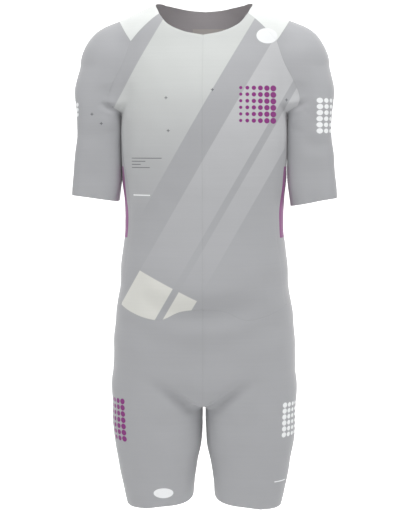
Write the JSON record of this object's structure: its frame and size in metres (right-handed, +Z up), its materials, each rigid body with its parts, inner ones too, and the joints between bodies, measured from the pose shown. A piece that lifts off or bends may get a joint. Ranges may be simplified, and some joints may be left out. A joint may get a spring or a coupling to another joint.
{
  "type": "cycling speed suit",
  "caption": "One-piece cycling suit with half sleeves and thigh-length legs, hollow, shown worn and filled out with no wearer.",
  "frame": {"origin": "the middle of the line between the two points where the neckline crosses the shoulders, where the wearer holds the suit up", "axes": "+Z up along the worn suit, the front faces -Y, +X towards the wearer's left"},
  "size_m": [0.4884, 0.2442, 0.9321],
  "materials": {
    "printed_front": "matt stretch knit with a soft sheen, printed off-white and pale grey",
    "pale_yoke": "matt stretch knit with a soft sheen, off-white",
    "grey_knit": "matt stretch knit with a soft sheen, light grey"
  },
  "bodies": {
    "root": {"front_right": "printed_front", "front_left": "printed_front", "side_right": "grey_knit", "side_left": "grey_knit", "back": "grey_knit", "yoke_right": "pale_yoke", "yoke_left": "pale_yoke", "sleeve_right": "grey_knit", "sleeve_left": "grey_knit", "leg_right": "grey_knit", "leg_left": "grey_knit"}
  },
  "joints": []
}
